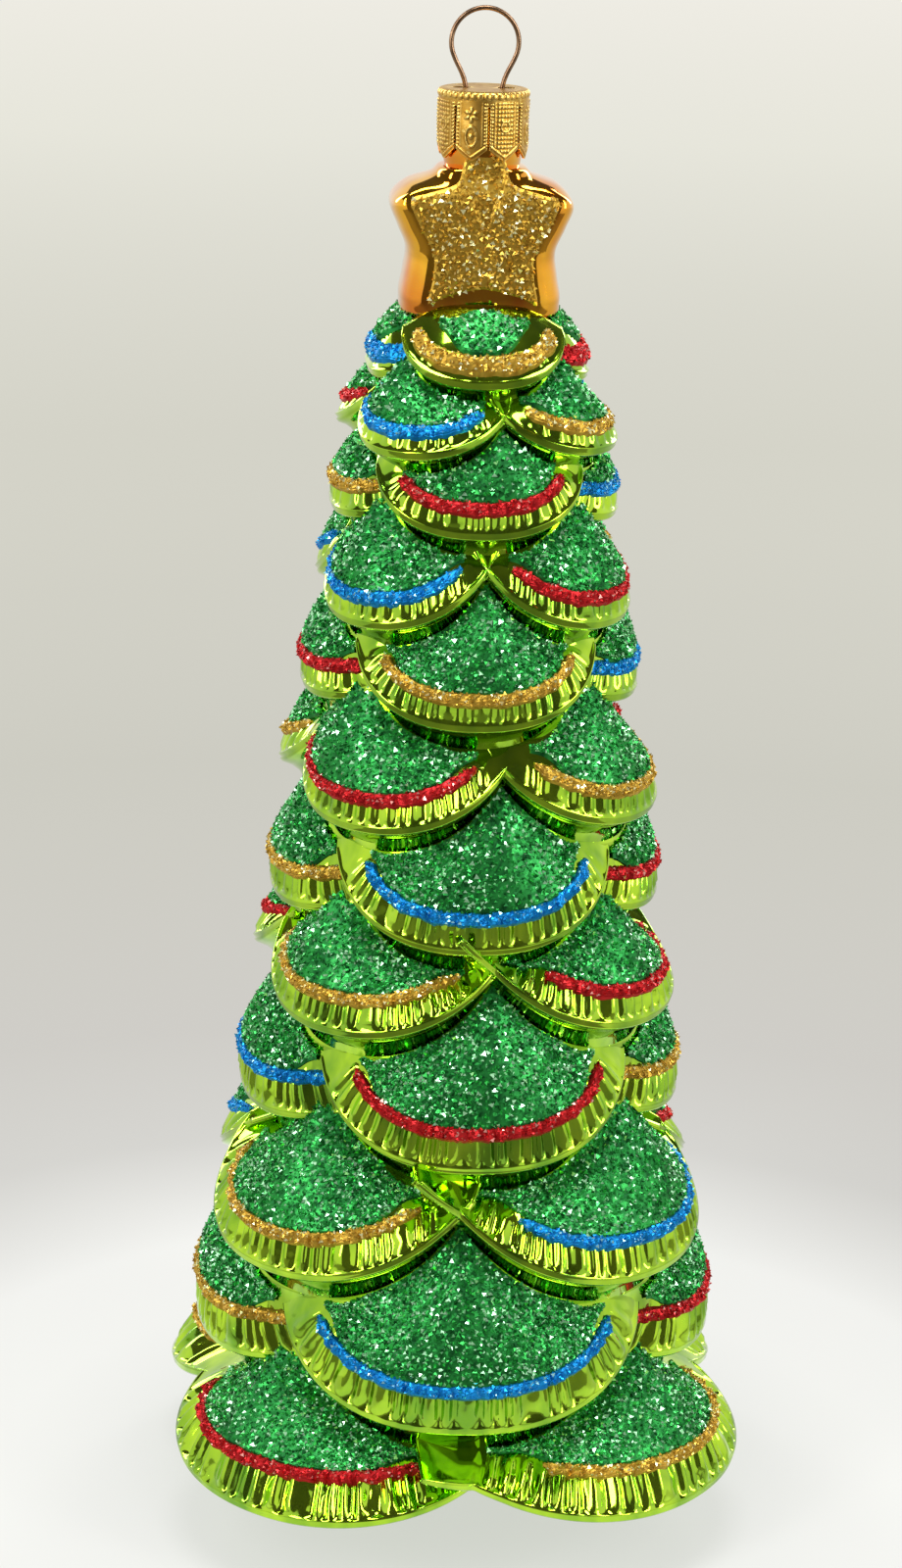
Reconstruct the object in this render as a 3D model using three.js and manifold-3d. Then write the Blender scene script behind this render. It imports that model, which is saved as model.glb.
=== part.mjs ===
// A blown-glass christmas tree ornament: one hollow moulded glass body with a neck, a five-pointed star
// and twelve rings of four scale-like branches, a stamped metal cap, a spring-wire hanger and the
// glitter glued on the star and on each branch.
// Millimetres, +Z up. The origin is the point the ornament hangs from, inside the top of the wire loop.
// The front of the star and of the first ring faces -Y.

import * as THREE from 'three';
import { mergeVertices } from 'three/addons/utils/BufferGeometryUtils.js';
import Module from 'manifold-3d';

// Driving sizes of the hanger
const wireThickness = 0.6;
const loopRadius = 4.05; // centre line of the wire
const loopCentreAboveCap = 5.35;
const legSpacing = 4.5; // between the legs where they pass the cap
const legLength = 16.5; // below the top of the cap
// Bends of a leg inside the neck: share of its length, share of the way out to the neck's wall
const legBends = [[1, 0.35], [0.8, 1], [0.4, 0.6]];
const wireSides = 8;
const wireSteps = 52;
const loopSteps = 14;

// Driving sizes of the cap
const capDiameter = 11;
const capHeight = 8.2; // from its top to the points of its tabs
const sheetThickness = 0.3;
const tabCount = 8;
const capTurn = -20; // degrees; a slit is then near the middle of the front
const tabPoint = 1.5; // height of the pointed end of a tab
const tabTipWidth = 0.35;
const slitWidth = 0.3;
const capBand = 1.7; // unslit height below the top
const capShoulder = 0.5; // corner between the top and the side
const tabCurl = 0.12; // how far the tabs close in at their points
const tabCurlHeight = 2; // height of the part of a tab that closes in
const rimToothCount = 32;
const rimToothDepth = 0.16;
const rimHeight = 0.55;
const capSegments = 40;

// Driving sizes of the neck
const capPlay = 0.45; // between the cap's wall and the neck
const neckWall = 1.0;
const clearance = 0.3; // between pieces that pass or rest on each other
const roundSegments = 32;

// Driving sizes of the star
const starCentreDepth = 17; // below the top of the cap
const starHalfDepth = 6.5; // from the middle to the flat face
const starTopHalfDepth = 4.6; // at the top, where it runs into the neck
const starThinning = [3, 8]; // above its centre, where the star thins from one to the other
const starWall = 1.0;
const starColumns = 36;

// The right half of the star's outline from its top to its foot, across and up from its centre:
// the widest outline, at the middle of its depth, and the outline of the flat face
const starOutline = [
  [0, 8.0], [4.7, 7.9], [6.2, 6.9], [9.3, 5.7], [11.1, 3.4], [10.2, 0.6],
  [9.1, -2.2], [9.4, -5.2], [9.8, -8.2], [8.6, -10.6], [0, -11.6],
];
const starFace = [
  [0, 7.6], [3.2, 7.5], [4.1, 5.9], [7.2, 5.5], [9.4, 4.4], [8.2, 1.2],
  [6.5, -2.0], [6.6, -5.2], [7.0, -8.6], [5.2, -9.8], [0, -10.2],
];
// The glitter on the face stays inside it, and arches over the first branch at its foot
const starField = [
  [0, 7.0], [2.8, 6.9], [3.8, 5.4], [6.8, 5.0], [8.9, 4.2], [7.8, 1.2],
  [6.1, -2.0], [6.1, -5.2], [6.5, -8.0], [4.2, -7.2], [0, -6.3],
];
// Sections of the star from its middle to its face: share of the depth, share of the way out to the
// widest outline
const starSections = [[0, 1], [0.45, 0.95], [0.8, 0.7], [0.96, 0.32], [1, 0]];

// Driving sizes of the tree: one value for each ring of branches, from the top down. Even rings have
// their branches at the front, the back and the sides, odd rings on the corners between them.
const rimDepth = [33.6, 41.6, 51, 62.2, 74, 86.6, 101.3, 112, 128.6, 143, 161.3, 173];
const branchReach = [13.4, 18.5, 17.6, 21.6, 20.9, 25.4, 24.4, 29, 28, 35, 33.4, 41];
const rimRise = [4.5, 4.2, 6, 6.6, 7.5, 6.6, 9, 7.6, 10, 8.6, 10.5, 4.2];
const ringTurn = [0, 10, -1, 2, -1, 9, 0, 6, 2, -3, -1, 1]; // degrees
const frontBranchHalfAngle = 49; // degrees, the side branches take the rest
const cornerStand = 2; // how much further out the tree stands on its corners
const branchNotch = 0.16; // share of the reach lost where two branches meet
const notchPower = 3;
const rimRoundness = 2.4; // 2 is a shallow arc, 4 a square one
const sideLift = 2.5; // how much higher the side branches hang than the front one, in the lowest face ring
const creaseShare = 0.85; // radius of the crease under a rim, as a share of the rim's
const creaseShareAtNotch = 0.9;
const creaseDropTop = 2.6; // height from the rim to the crease under it, top ring
const creaseDropStep = 0.27; // and what each ring adds
const creaseDropNotchShare = 0.55;
const lipDropShare = 0.32; // rounded lip under the rim, as a share of the crease's drop
const lipInShare = 0.1; // and as a share of the way in to the crease
const domeRows = [0.4, 0.8]; // rows of points between the crease above and the rim
const domeBulge = 0.07; // crown of a branch, as a share of its height
const columnsPerBranch = 8;
const branchesPerRing = 4;
const treeWall = 1.1;
const treeTopRadius = 8.3;
const treeTopInStar = 3.1; // how far the top of the tree reaches up into the star's foot
const baseDrop = 2.2; // from the lowest rim to the edge of the base
const baseShare = 0.6; // a ring of points on the base, as a share of the reach
const baseBelowRim = 2.9;
const baseMiddleBelowRim = 3.3;

// Driving sizes of the glitter
const glitterThickness = 0.4;
const glitterClearance = 0.45; // from the facets of the glass to the glitter
const stripeThickness = 0.75;
const fieldHalfColumns = 3; // columns each side of the middle of a branch
const fieldTopShare = 0.3; // how far its top lies below the crease at its ends, as a share of the first row
const fieldTopMiddleShare = 0.2; // and at its middle
const fieldTopUnderStar = 0.88; // the same on the side branches under the star's foot
const stripeTopShare = 0.6; // where the stripe begins between the last two rows

// Places worked out from the sizes above
const loopCentre = -(loopRadius - wireThickness / 2);
const capTop = loopCentre - loopCentreAboveCap;
const capRadius = capDiameter / 2;
const neckRadius = capRadius - sheetThickness - capPlay;
const boreRadius = neckRadius - neckWall;
const neckTop = capTop - sheetThickness - clearance;
const starCentre = capTop - starCentreDepth;
const starFoot = starCentre + starOutline[starOutline.length - 1][1];
const treeTop = starFoot + treeTopInStar;
const legSpread = 2 * (boreRadius - clearance) - wireThickness;
const ringCount = rimDepth.length;
const lowestRim = capTop - rimDepth[ringCount - 1];
const baseMiddle = lowestRim - baseMiddleBelowRim;
const columnCount = columnsPerBranch * branchesPerRing;
const branchAngle = 360 / branchesPerRing;
const radians = THREE.MathUtils.degToRad;

const wasm = await Module();
wasm.setup();

// Solids for cutting and joining
function toSolid(geometry) {
  const bare = geometry.clone();
  bare.deleteAttribute('normal');
  bare.deleteAttribute('uv');
  const merged = mergeVertices(bare, 1e-4);
  return new wasm.Manifold(new wasm.Mesh({
    numProp: 3,
    vertProperties: new Float32Array(merged.attributes.position.array),
    triVerts: new Uint32Array(merged.index.array),
  }));
}

function toGeometry(solid) {
  const mesh = solid.getMesh();
  const geometry = new THREE.BufferGeometry();
  const places = new Float32Array(mesh.numVert * 3);
  for (let i = 0; i < mesh.numVert; i += 1) {
    for (let axis = 0; axis < 3; axis += 1) {
      places[3 * i + axis] = mesh.vertProperties[mesh.numProp * i + axis];
    }
  }
  geometry.setAttribute('position', new THREE.BufferAttribute(places, 3));
  geometry.setIndex(new THREE.BufferAttribute(new Uint32Array(mesh.triVerts), 1));
  return geometry;
}

// A closed skin through loops of points, with a fan to the middle at each end.
// Seen from outside, the loops run to the right and follow each other downwards.
function loft(loops, firstPole, lastPole) {
  const count = loops[0].length;
  const points = [firstPole, ...loops.flat(), lastPole];
  const last = points.length - 1;
  const faces = [];
  const at = (row, column) => 1 + row * count + (column % count);
  for (let column = 0; column < count; column += 1) {
    faces.push(0, at(0, column), at(0, column + 1));
    faces.push(last, at(loops.length - 1, column + 1), at(loops.length - 1, column));
    for (let row = 0; row < loops.length - 1; row += 1) {
      faces.push(at(row, column), at(row + 1, column), at(row + 1, column + 1));
      faces.push(at(row, column), at(row + 1, column + 1), at(row, column + 1));
    }
  }
  const geometry = new THREE.BufferGeometry().setFromPoints(points);
  geometry.setIndex(faces);
  return geometry;
}

// A closed slab between a grid of points and the same grid further out
function slab(inside, outside) {
  const rows = inside.length;
  const columns = inside[0].length;
  const points = [...inside.flat(), ...outside.flat()];
  const low = (row, column) => row * columns + column;
  const high = (row, column) => rows * columns + low(row, column);
  const faces = [];
  const lastColumn = columns - 1;
  const lastRow = rows - 1;
  const quad = (a, b, c, d) => faces.push(a, b, c, a, c, d);
  for (let row = 0; row < lastRow; row += 1) {
    const next = row + 1;
    for (let column = 0; column < lastColumn; column += 1) {
      quad(high(row, column), high(next, column), high(next, column + 1), high(row, column + 1));
      quad(low(row, column), low(row, column + 1), low(next, column + 1), low(next, column));
    }
    quad(low(row, 0), low(next, 0), high(next, 0), high(row, 0));
    quad(high(row, lastColumn), high(next, lastColumn), low(next, lastColumn), low(row, lastColumn));
  }
  for (let column = 0; column < lastColumn; column += 1) {
    const next = column + 1;
    quad(low(0, column), high(0, column), high(0, next), low(0, next));
    quad(high(lastRow, column), low(lastRow, column), low(lastRow, next), high(lastRow, next));
  }
  const geometry = new THREE.BufferGeometry().setFromPoints(points);
  geometry.setIndex(faces);
  return geometry;
}

// The tree's surface as a grid of points: 32 columns round it, and rows that follow the rims and creases.
// A column's place in a ring: its angle, and how far it lies from the middle of its branch, 0 to 1.
function columnPlace(ring, column) {
  const onCorner = ring % 2 === 1;
  const shift = onCorner ? columnsPerBranch / 2 : 0;
  const branch = Math.round((column - shift) / columnsPerBranch);
  const across = (column - shift - branch * columnsPerBranch) / (columnsPerBranch / 2);
  const facing = branch % 2 === 0 ? frontBranchHalfAngle : branchAngle - frontBranchHalfAngle;
  const halfAngle = onCorner ? branchAngle / 2 : facing;
  const angle = branch * branchAngle + (onCorner ? branchAngle / 2 : 0) + across * halfAngle;
  const onSide = !onCorner && branch % 2 !== 0;
  return { angle, turned: angle + ringTurn[ring], across: Math.abs(across), onSide };
}

function rimPlace(ring, column) {
  const { angle, turned, across, onSide } = columnPlace(ring, column);
  const onFace = branchReach[ring] - (ring % 2 === 1 ? cornerStand : 0);
  const corner = cornerStand * (1 - Math.cos(radians(4 * angle))) / 2;
  const radius = (onFace + corner) * (1 - branchNotch * across ** notchPower);
  const lift = onSide ? (sideLift * ring) / (ringCount - 2) : 0;
  const rise = THREE.MathUtils.lerp(lift, rimRise[ring], across ** rimRoundness);
  const height = capTop - rimDepth[ring] + rise;
  return { turned, across, radius, height };
}

function creasePlace(ring, column) {
  const rim = rimPlace(ring, column);
  const share = THREE.MathUtils.lerp(creaseShare, creaseShareAtNotch, rim.across ** 2);
  const fullDrop = ring === ringCount - 1 ? baseDrop : creaseDropTop + creaseDropStep * ring;
  const drop = fullDrop * THREE.MathUtils.lerp(1, creaseDropNotchShare, rim.across ** 2);
  return { ...rim, radius: rim.radius * share, height: rim.height - drop };
}

function topPlace(column) {
  const { turned } = columnPlace(0, column);
  return { turned, radius: treeTopRadius, height: treeTop };
}

function mix(from, to, share) {
  return {
    turned: THREE.MathUtils.lerp(from.turned, to.turned, share),
    radius: THREE.MathUtils.lerp(from.radius, to.radius, share),
    height: THREE.MathUtils.lerp(from.height, to.height, share),
  };
}

function spot({ turned, radius, height }) {
  const angle = radians(turned);
  return new THREE.Vector3(radius * Math.sin(angle), -radius * Math.cos(angle), height);
}

const everyColumn = Array.from({ length: columnCount }, (_, column) => column);

// The places of one ring's rows, from the crease above it down to its own crease
function ringRows(ring, column) {
  const above = ring === 0 ? topPlace(column) : creasePlace(ring - 1, column);
  const rim = rimPlace(ring, column);
  const crease = creasePlace(ring, column);
  const dome = domeRows.map((share) => {
    const place = mix(above, rim, share);
    const crown = domeBulge * (above.height - rim.height) * Math.sin(Math.PI * share);
    place.radius += crown * (1 - rim.across ** 2);
    return place;
  });
  const lip = mix(rim, crease, lipInShare);
  lip.height = THREE.MathUtils.lerp(rim.height, crease.height, lipDropShare);
  return [above, ...dome, rim, lip, crease];
}

function inwards(place, distance) {
  return { ...place, radius: place.radius - distance };
}

function basePlace(column, share, below) {
  const rim = rimPlace(ringCount - 1, column);
  return {
    turned: rim.turned,
    radius: rim.radius * share,
    height: lowestRim - below,
  };
}

function treeOutside() {
  const loops = [everyColumn.map((column) => spot(topPlace(column)))];
  for (let ring = 0; ring < ringCount; ring += 1) {
    const rows = everyColumn.map((column) => ringRows(ring, column));
    for (let row = 1; row < rows[0].length; row += 1) {
      loops.push(rows.map((places) => spot(places[row])));
    }
  }
  loops.push(everyColumn.map((column) => spot(basePlace(column, baseShare, baseBelowRim))));
  const topPole = new THREE.Vector3(0, 0, treeTop + treeWall);
  const basePole = new THREE.Vector3(0, 0, baseMiddle);
  return loft(loops, topPole, basePole);
}

// The hollow follows the rims and the creases, one wall further in
function treeInside() {
  const loops = [everyColumn.map((column) => spot(inwards(topPlace(column), treeWall)))];
  for (let ring = 0; ring < ringCount; ring += 1) {
    loops.push(everyColumn.map((column) => spot(inwards(rimPlace(ring, column), treeWall))));
    if (ring < ringCount - 1) {
      loops.push(everyColumn.map((column) => spot(inwards(creasePlace(ring, column), treeWall))));
    }
  }
  const floor = everyColumn.map((column) => {
    return spot(inwards(basePlace(column, baseShare, baseBelowRim - treeWall), treeWall));
  });
  loops.push(floor);
  const topPole = new THREE.Vector3(0, 0, treeTop + 2 * treeWall);
  const basePole = new THREE.Vector3(0, 0, baseMiddle + treeWall);
  return loft(loops, topPole, basePole);
}

// The star: sections across its depth, from the flat face at the front to the one at the back
function fullOutline(half, samples) {
  const right = half.map(([across, up]) => new THREE.Vector3(across, up, 0));
  const left = half.slice(1, -1).reverse().map(([across, up]) => new THREE.Vector3(-across, up, 0));
  const curve = new THREE.CatmullRomCurve3([...right, ...left], true, 'centripetal');
  return Array.from({ length: samples }, (_, i) => curve.getPoint(i / samples)).reverse();
}

function starHalfDepthAt(up) {
  const share = THREE.MathUtils.smoothstep(up, ...starThinning);
  return THREE.MathUtils.lerp(starHalfDepth, starTopHalfDepth, share);
}

function starLoft(inset) {
  const widest = fullOutline(starOutline, starColumns);
  const face = fullOutline(starFace, starColumns);
  const shrink = (point) => point.clone().multiplyScalar(1 - inset / point.length());
  const behind = starSections.slice(1).map(([depth, out]) => [-depth, out]);
  const sections = [...starSections.slice().reverse(), ...behind];
  const loops = sections.map(([depth, out]) => widest.map((point, i) => {
    const outer = shrink(point);
    const inner = shrink(face[i]);
    const at = inner.lerp(outer, out);
    return new THREE.Vector3(at.x, -depth * (starHalfDepthAt(at.y) - inset), starCentre + at.y);
  }));
  const faceDepth = starHalfDepth - inset;
  const front = new THREE.Vector3(0, -faceDepth, starCentre);
  const back = new THREE.Vector3(0, faceDepth, starCentre);
  return loft(loops, front, back);
}

function standingCylinder(radius, top, bottom) {
  const cylinder = new THREE.CylinderGeometry(radius, radius, top - bottom, roundSegments);
  cylinder.rotateX(Math.PI / 2);
  cylinder.translate(0, 0, (top + bottom) / 2);
  return cylinder;
}

function glassBody() {
  const neck = toSolid(standingCylinder(neckRadius, neckTop, starCentre));
  const outside = neck.add(toSolid(starLoft(0))).add(toSolid(treeOutside()));
  const bore = toSolid(standingCylinder(boreRadius, neckTop + neckWall, starCentre));
  const hollow = bore.add(toSolid(starLoft(starWall))).add(toSolid(treeInside()));
  return toGeometry(outside.subtract(hollow));
}

// The cap: a drawn cup with a toothed rim, slit into pointed tabs, with two slots for the wire
function cup() {
  const wall = sheetThickness;
  const bend = capHeight - tabCurlHeight;
  const profile = [
    [0, 0], [capRadius - 2 * capShoulder, 0], [capRadius - capShoulder / 3, -capShoulder / 4],
    [capRadius, -capShoulder], [capRadius, -bend], [capRadius - tabCurl, -capHeight],
    [capRadius - tabCurl - wall, -capHeight], [capRadius - wall, -bend],
    [capRadius - wall, -capShoulder - wall / 2], [capRadius - wall - capShoulder / 2, -wall], [0, -wall],
  ];
  const points = profile.map(([radius, height]) => new THREE.Vector2(radius, height));
  const geometry = new THREE.LatheGeometry(points.reverse(), capSegments);
  geometry.rotateX(Math.PI / 2);
  geometry.translate(0, 0, capTop);
  return toSolid(geometry);
}

function rimTeeth() {
  const shape = new THREE.Shape();
  const steps = rimToothCount * 2;
  for (let i = 0; i <= steps; i += 1) {
    const radius = capRadius + (i % 2 === 0 ? rimToothDepth : 0);
    const angle = (i * 2 * Math.PI) / steps;
    shape[i === 0 ? 'moveTo' : 'lineTo'](radius * Math.cos(angle), radius * Math.sin(angle));
  }
  const hole = new THREE.Path();
  hole.absarc(0, 0, capRadius - sheetThickness / 2, 0, 2 * Math.PI, true);
  shape.holes.push(hole);
  const settings = { depth: rimHeight, bevelEnabled: false, curveSegments: roundSegments / 4 };
  const geometry = new THREE.ExtrudeGeometry(shape, settings);
  geometry.translate(0, 0, capTop - capShoulder / 2 - rimHeight);
  return toSolid(geometry);
}

// A prism that points outwards, with its outline in the plane across the radius
function radialPrism(outline, angle) {
  const shape = new THREE.Shape(outline.map(([across, up]) => new THREE.Vector2(across, up)));
  const geometry = new THREE.ExtrudeGeometry(shape, { depth: capRadius, bevelEnabled: false });
  geometry.rotateX(Math.PI / 2);
  geometry.translate(0, -capRadius / 2, capTop);
  geometry.rotateZ(angle);
  return toSolid(geometry);
}

function capBody() {
  let body = cup().add(rimTeeth());
  const pitch = (2 * Math.PI) / tabCount;
  const halfTab = capRadius * Math.tan(pitch / 2) - tabTipWidth / 2;
  const slitEnd = -capHeight - tabPoint;
  const slit = [
    [-slitWidth / 2, -capBand], [-slitWidth / 2, slitEnd],
    [slitWidth / 2, slitEnd], [slitWidth / 2, -capBand],
  ];
  const notch = [
    [0, -capHeight + tabPoint], [-halfTab, -capHeight], [-halfTab, slitEnd], [halfTab, slitEnd],
    [halfTab, -capHeight],
  ];
  for (let tab = 0; tab < tabCount; tab += 1) {
    const angle = (tab + 0.5) * pitch + THREE.MathUtils.degToRad(capTurn);
    body = body.subtract(radialPrism(slit, angle)).subtract(radialPrism(notch, angle));
  }
  const slotFrom = legSpacing / 2 - wireThickness / 2 - clearance;
  const slotTo = legSpread / 2 + wireThickness / 2 + clearance;
  const slotAcross = wireThickness + 2 * clearance;
  for (const side of [-1, 1]) {
    const slot = new THREE.BoxGeometry(slotTo - slotFrom, slotAcross, 4 * sheetThickness);
    slot.translate(side * (slotFrom + slotTo) / 2, 0, capTop);
    body = body.subtract(toSolid(slot));
  }
  return toGeometry(body);
}

// The hanger: one wire, up from inside the neck, round the loop and down again
function hangerPath() {
  const half = legSpacing / 2;
  const reach = Math.hypot(half, loopCentreAboveCap);
  const tangent = Math.acos(loopRadius / reach) - Math.atan2(loopCentreAboveCap, half);
  const spread = legSpread / 2;
  const bends = legBends.map(([down, out]) => [half + out * (spread - half), capTop - down * legLength]);
  const legs = [...bends, [half, capTop - 2 * sheetThickness], [half, capTop + sheetThickness]];
  const right = legs.map(([across, up]) => new THREE.Vector3(across, 0, up));
  const left = right.map((point) => new THREE.Vector3(-point.x, 0, point.z)).reverse();
  const sweep = Math.PI - 2 * tangent;
  const loop = Array.from({ length: loopSteps + 1 }, (_, i) => {
    const angle = tangent + (sweep * i) / loopSteps;
    return new THREE.Vector3(loopRadius * Math.cos(angle), 0, loopCentre + loopRadius * Math.sin(angle));
  });
  return new THREE.CatmullRomCurve3([...right, ...loop, ...left], false, 'centripetal');
}

function hangerWire() {
  const section = new THREE.Shape();
  section.absarc(0, 0, wireThickness / 2, 0, 2 * Math.PI);
  const settings = { steps: wireSteps, extrudePath: hangerPath(), curveSegments: wireSides / 2 };
  return new THREE.ExtrudeGeometry(section, settings);
}

// Glitter on a branch: a field with a raised stripe along its lower edge, on the facets of the glass
function gridPoint(ring, column, share) {
  const rows = ringRows(ring, (column + columnCount) % columnCount);
  const marks = [0, ...domeRows, 1];
  const from = marks.findLastIndex((mark, i) => mark <= share && i < marks.length - 1);
  const part = (share - marks[from]) / (marks[from + 1] - marks[from]);
  return spot(rows[from]).lerp(spot(rows[from + 1]), part);
}

function outwardAt(ring, column, share) {
  const nudge = 0.1; // a share of the height of the branch
  const above = Math.max(0, share - nudge);
  const down = gridPoint(ring, column, share + nudge).sub(gridPoint(ring, column, above));
  const right = gridPoint(ring, column + 1, share).sub(gridPoint(ring, column - 1, share));
  return down.cross(right).normalize();
}

function branchGlitter(ring, branch) {
  const middle = branch * columnsPerBranch + (ring % 2 === 1 ? columnsPerBranch / 2 : 0);
  const [upper, lower] = domeRows;
  const stripeTop = THREE.MathUtils.lerp(upper, lower, stripeTopShare);
  const underStar = ring === 0 && branch % 2 === 1;
  const rows = [
    [0, glitterThickness], [upper, glitterThickness],
    [stripeTop, stripeThickness], [lower, stripeThickness],
  ];
  const inside = [];
  const outside = [];
  for (const [share, thickness] of rows) {
    const low = [];
    const high = [];
    for (let column = middle - fieldHalfColumns; column <= middle + fieldHalfColumns; column += 1) {
      const end = Math.abs(column - middle) / fieldHalfColumns;
      const top = THREE.MathUtils.lerp(fieldTopMiddleShare, fieldTopShare, end ** 2);
      const place = share || upper * (underStar ? fieldTopUnderStar : top);
      const point = gridPoint(ring, column, place);
      const outward = outwardAt(ring, column, place);
      low.push(point.clone().addScaledVector(outward, glitterClearance));
      high.push(point.clone().addScaledVector(outward, glitterClearance + thickness));
    }
    inside.push(low);
    outside.push(high);
  }
  return slab(inside, outside);
}

// Glitter on a face of the star
function starGlitter(side) {
  const loops = [clearance, clearance + glitterThickness].map((stand) => {
    return fullOutline(starField, starColumns).map((point) => {
      const depth = starHalfDepthAt(point.y) + stand;
      return new THREE.Vector3(side * -point.x, side * depth, starCentre + point.y);
    });
  });
  const [near, far] = loops;
  const nearMiddle = new THREE.Vector3(0, side * (starHalfDepth + clearance), starCentre);
  const farMiddle = new THREE.Vector3(0, side * (starHalfDepth + clearance + glitterThickness), starCentre);
  return loft([far, near], farMiddle, nearMiddle);
}

// Finishes
const greenGlass = new THREE.MeshStandardMaterial({ color: 0x8fc01e, roughness: 0.08, metalness: 0.9 });
const goldCap = new THREE.MeshStandardMaterial({ color: 0xc8a050, roughness: 0.35, metalness: 1 });
const bronzeWire = new THREE.MeshStandardMaterial({ color: 0x8a6f55, roughness: 0.35, metalness: 1 });
const goldGlitter = new THREE.MeshStandardMaterial({ color: 0xb48228, roughness: 0.5, metalness: 0.5 });
const greenGlitter = new THREE.MeshStandardMaterial({ color: 0x14783c, roughness: 0.5, metalness: 0.4 });

const ornament = new THREE.Group();

function addPiece(name, geometry, material) {
  const mesh = new THREE.Mesh(geometry, material);
  mesh.name = name;
  ornament.add(mesh);
}

addPiece('glass_body', glassBody(), greenGlass);
addPiece('cap', capBody(), goldCap);
addPiece('hanger', hangerWire(), bronzeWire);
addPiece('star_glitter_front', starGlitter(-1), goldGlitter);
addPiece('star_glitter_back', starGlitter(1), goldGlitter);

const sideNames = ['front', 'right', 'back', 'left'];
const cornerNames = ['front_right', 'back_right', 'back_left', 'front_left'];
for (let ring = 0; ring < ringCount; ring += 1) {
  const names = ring % 2 === 1 ? cornerNames : sideNames;
  names.forEach((name, branch) => {
    const number = String(ring + 1).padStart(2, '0');
    addPiece(`glitter_ring_${number}_${name}`, branchGlitter(ring, branch), greenGlitter);
  });
}

export default ornament;
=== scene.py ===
# %% [markdown]
# # A blown-glass christmas tree ornament
# The real thing is one thin glass bubble, blown into a mould: a short neck, a puffy star and twelve rings
# of branches that lie over each other like the scales of a fir cone. The inside is silvered like a mirror,
# the outside is painted with clear lacquer, amber on the star and lime green on the tree. Glitter is glued
# on with a brush: a bed of green chips on each branch, and a piped line of gold, red or blue chips below it.
# A stamped gold cap sits on the neck, and a spring wire goes through it and makes the hanging loop.
#
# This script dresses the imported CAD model, which is a fixed frame: it says where everything is. The front
# faces -Y, +Z is up, and the origin is the point the ornament hangs from. The script thinks in millimetres
# and turns them into metres where a vertex is placed.

# %% Load the frame
import math
import random

import bmesh
import bpy
import numpy as np
from mathutils import Matrix, Quaternion, Vector, noise


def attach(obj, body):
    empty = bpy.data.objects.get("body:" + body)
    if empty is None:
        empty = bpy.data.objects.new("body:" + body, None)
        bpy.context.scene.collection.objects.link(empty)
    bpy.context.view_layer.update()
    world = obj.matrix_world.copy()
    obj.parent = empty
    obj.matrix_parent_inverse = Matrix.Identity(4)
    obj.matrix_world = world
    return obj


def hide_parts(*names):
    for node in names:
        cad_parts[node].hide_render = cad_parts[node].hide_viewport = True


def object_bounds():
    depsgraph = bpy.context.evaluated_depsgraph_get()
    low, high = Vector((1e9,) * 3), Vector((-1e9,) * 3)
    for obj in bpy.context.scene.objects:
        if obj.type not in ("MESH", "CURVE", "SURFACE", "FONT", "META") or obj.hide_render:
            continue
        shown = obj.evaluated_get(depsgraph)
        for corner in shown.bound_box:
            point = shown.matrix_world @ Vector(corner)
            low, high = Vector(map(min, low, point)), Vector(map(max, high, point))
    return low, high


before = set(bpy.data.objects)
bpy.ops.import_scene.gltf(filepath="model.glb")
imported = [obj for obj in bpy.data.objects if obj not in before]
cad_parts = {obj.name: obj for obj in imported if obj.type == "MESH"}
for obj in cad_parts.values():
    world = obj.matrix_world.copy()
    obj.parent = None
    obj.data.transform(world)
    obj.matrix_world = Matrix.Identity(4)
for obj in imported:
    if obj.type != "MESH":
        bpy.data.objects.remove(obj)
cad_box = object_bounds()
MM = 0.001
print("CAD box in mm:", [[round(v / MM, 1) for v in corner] for corner in cad_box])

# %% [markdown]
# ## The camera
# The photograph was taken from a little to the left and above, with the camera tipped down and rolled by
# a degree and a half. The long side of the sensor is 36 mm, and the lens gives the photograph's perspective.

# %% Camera
CAMERA_TURN = -5.0
CAMERA_DISTANCE = 450.0
CAMERA_HEIGHT = 40.9
AIM_LEFT_OF_AXIS = 0.227
TIPPED_DOWN = 17.0
ROLL = 1.49
SENSOR = 36.0
FOCAL_IN_PIXELS, LONG_SIDE_IN_PIXELS = 3781, 1600

camera_data = bpy.data.cameras.new("camera")
camera_data.sensor_width = SENSOR
camera_data.lens = SENSOR * FOCAL_IN_PIXELS / LONG_SIDE_IN_PIXELS
camera = bpy.data.objects.new("camera", camera_data)
turn = math.radians(CAMERA_TURN)
place = Vector((math.sin(turn) * CAMERA_DISTANCE, -math.cos(turn) * CAMERA_DISTANCE, CAMERA_HEIGHT))
camera.matrix_world = (
    Matrix.Translation(place * MM)
    @ Matrix.Rotation(turn + math.radians(AIM_LEFT_OF_AXIS), 4, "Z")
    @ Matrix.Rotation(math.radians(90 - TIPPED_DOWN), 4, "X")
    @ Matrix.Rotation(math.radians(ROLL), 4, "Z")
)
bpy.context.scene.collection.objects.link(camera)
bpy.context.scene.camera = camera
bpy.context.scene.view_settings.view_transform = "Standard"
print("lens:", round(camera_data.lens, 2), "mm")

# %% [markdown]
# ## Small helpers
# Almost every piece is a skin: a grid of points with a number of columns and rows. `bmesh.ops.create_grid`
# makes the flat grid, and a formula then says where each of its points belongs on the real surface. That
# keeps the faces even and turned outwards, and a finer grid needs only larger numbers.

# %% Numbers between numbers
def lerp(low, high, share):
    return low + (high - low) * share


def clamp(value, low=0.0, high=1.0):
    return max(low, min(high, value))


def smooth(value, low, high):
    share = clamp((value - low) / (high - low))
    return share * share * (3 - 2 * share)


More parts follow.
